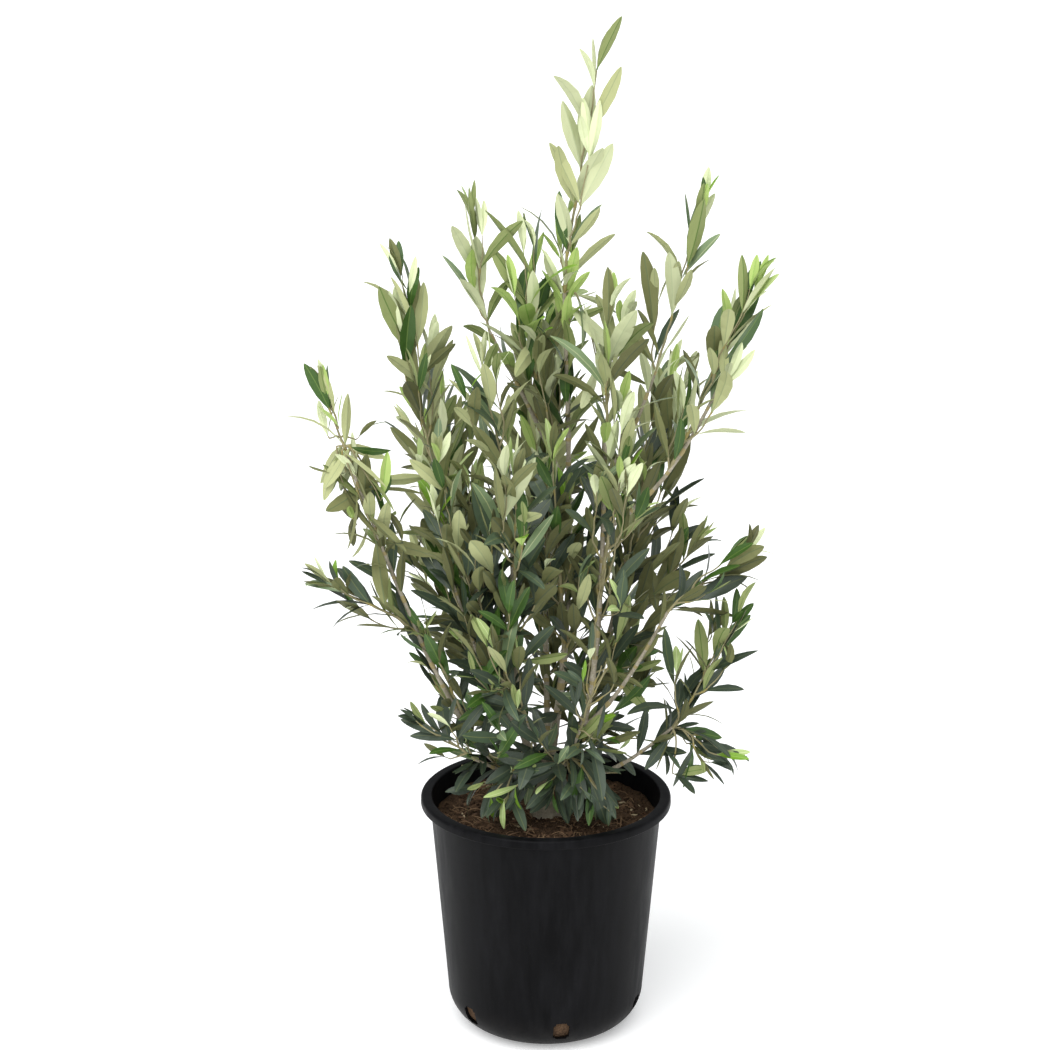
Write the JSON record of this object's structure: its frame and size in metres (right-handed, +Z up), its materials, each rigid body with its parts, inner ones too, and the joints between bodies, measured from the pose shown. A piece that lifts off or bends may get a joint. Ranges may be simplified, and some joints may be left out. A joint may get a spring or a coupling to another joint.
{
  "type": "potted olive tree",
  "caption": "A young, bushy olive tree with narrow grey-green leaves on thin upright stems, in a plain round black nursery pot of soil.",
  "frame": {"origin": "centre of the pot's flat underside, on the surface that the pot stands on", "axes": "+Z up; -Y is the front; +X is to the right of someone who faces the front"},
  "size_m": [0.4861, 0.3648, 1.1278],
  "materials": {
    "pot_plastic": "satin",
    "soil": "matte",
    "bark": "matte",
    "leaf": "satin"
  },
  "bodies": {
    "root": {"pot": "pot_plastic", "soil": "soil", "trunk": "bark", "stem_middle": "bark", "stem_right": "bark", "stem_left": "bark", "bough_left_long": "bark", "bough_left_inner": "bark", "bough_left_shoulder": "bark", "bough_upper_left": "bark", "bough_right_rising": "bark", "bough_right_inner": "bark", "bough_right_low": "bark", "bough_right_foot": "bark", "bough_left_foot": "bark", "bough_front_left": "bark", "bough_front_right": "bark", "bough_back_left": "bark", "bough_back_right": "bark", "bough_back_middle": "bark", "foliage_top_spire": "leaf", "foliage_upper_middle": "leaf", "foliage_upper_second": "leaf", "foliage_upper_right": "leaf", "foliage_upper_left": "leaf", "foliage_left_shoulder": "leaf", "foliage_left_high": "leaf", "foliage_left_wing": "leaf", "foliage_left_low_wing": "leaf", "foliage_left_lower": "leaf", "foliage_left_tuft": "leaf", "foliage_left_middle": "leaf", "foliage_middle": "leaf", "foliage_right_middle": "leaf", "foliage_right_inner": "leaf", "foliage_right_outer": "leaf", "foliage_right_wing": "leaf", "foliage_right_low": "leaf", "foliage_right_tuft": "leaf", "foliage_skirt_left": "leaf", "foliage_skirt_right": "leaf", "foliage_front_left": "leaf", "foliage_front_right": "leaf", "foliage_front_left_high": "leaf", "foliage_front_right_high": "leaf", "foliage_back_left": "leaf", "foliage_back_right": "leaf", "foliage_back_middle": "leaf", "foliage_back_low_left": "leaf", "foliage_back_low_right": "leaf", "foliage_back_wing": "leaf", "foliage_back_tuft": "leaf", "foliage_back_left_side": "leaf", "foliage_back_right_side": "leaf"}
  },
  "joints": []
}
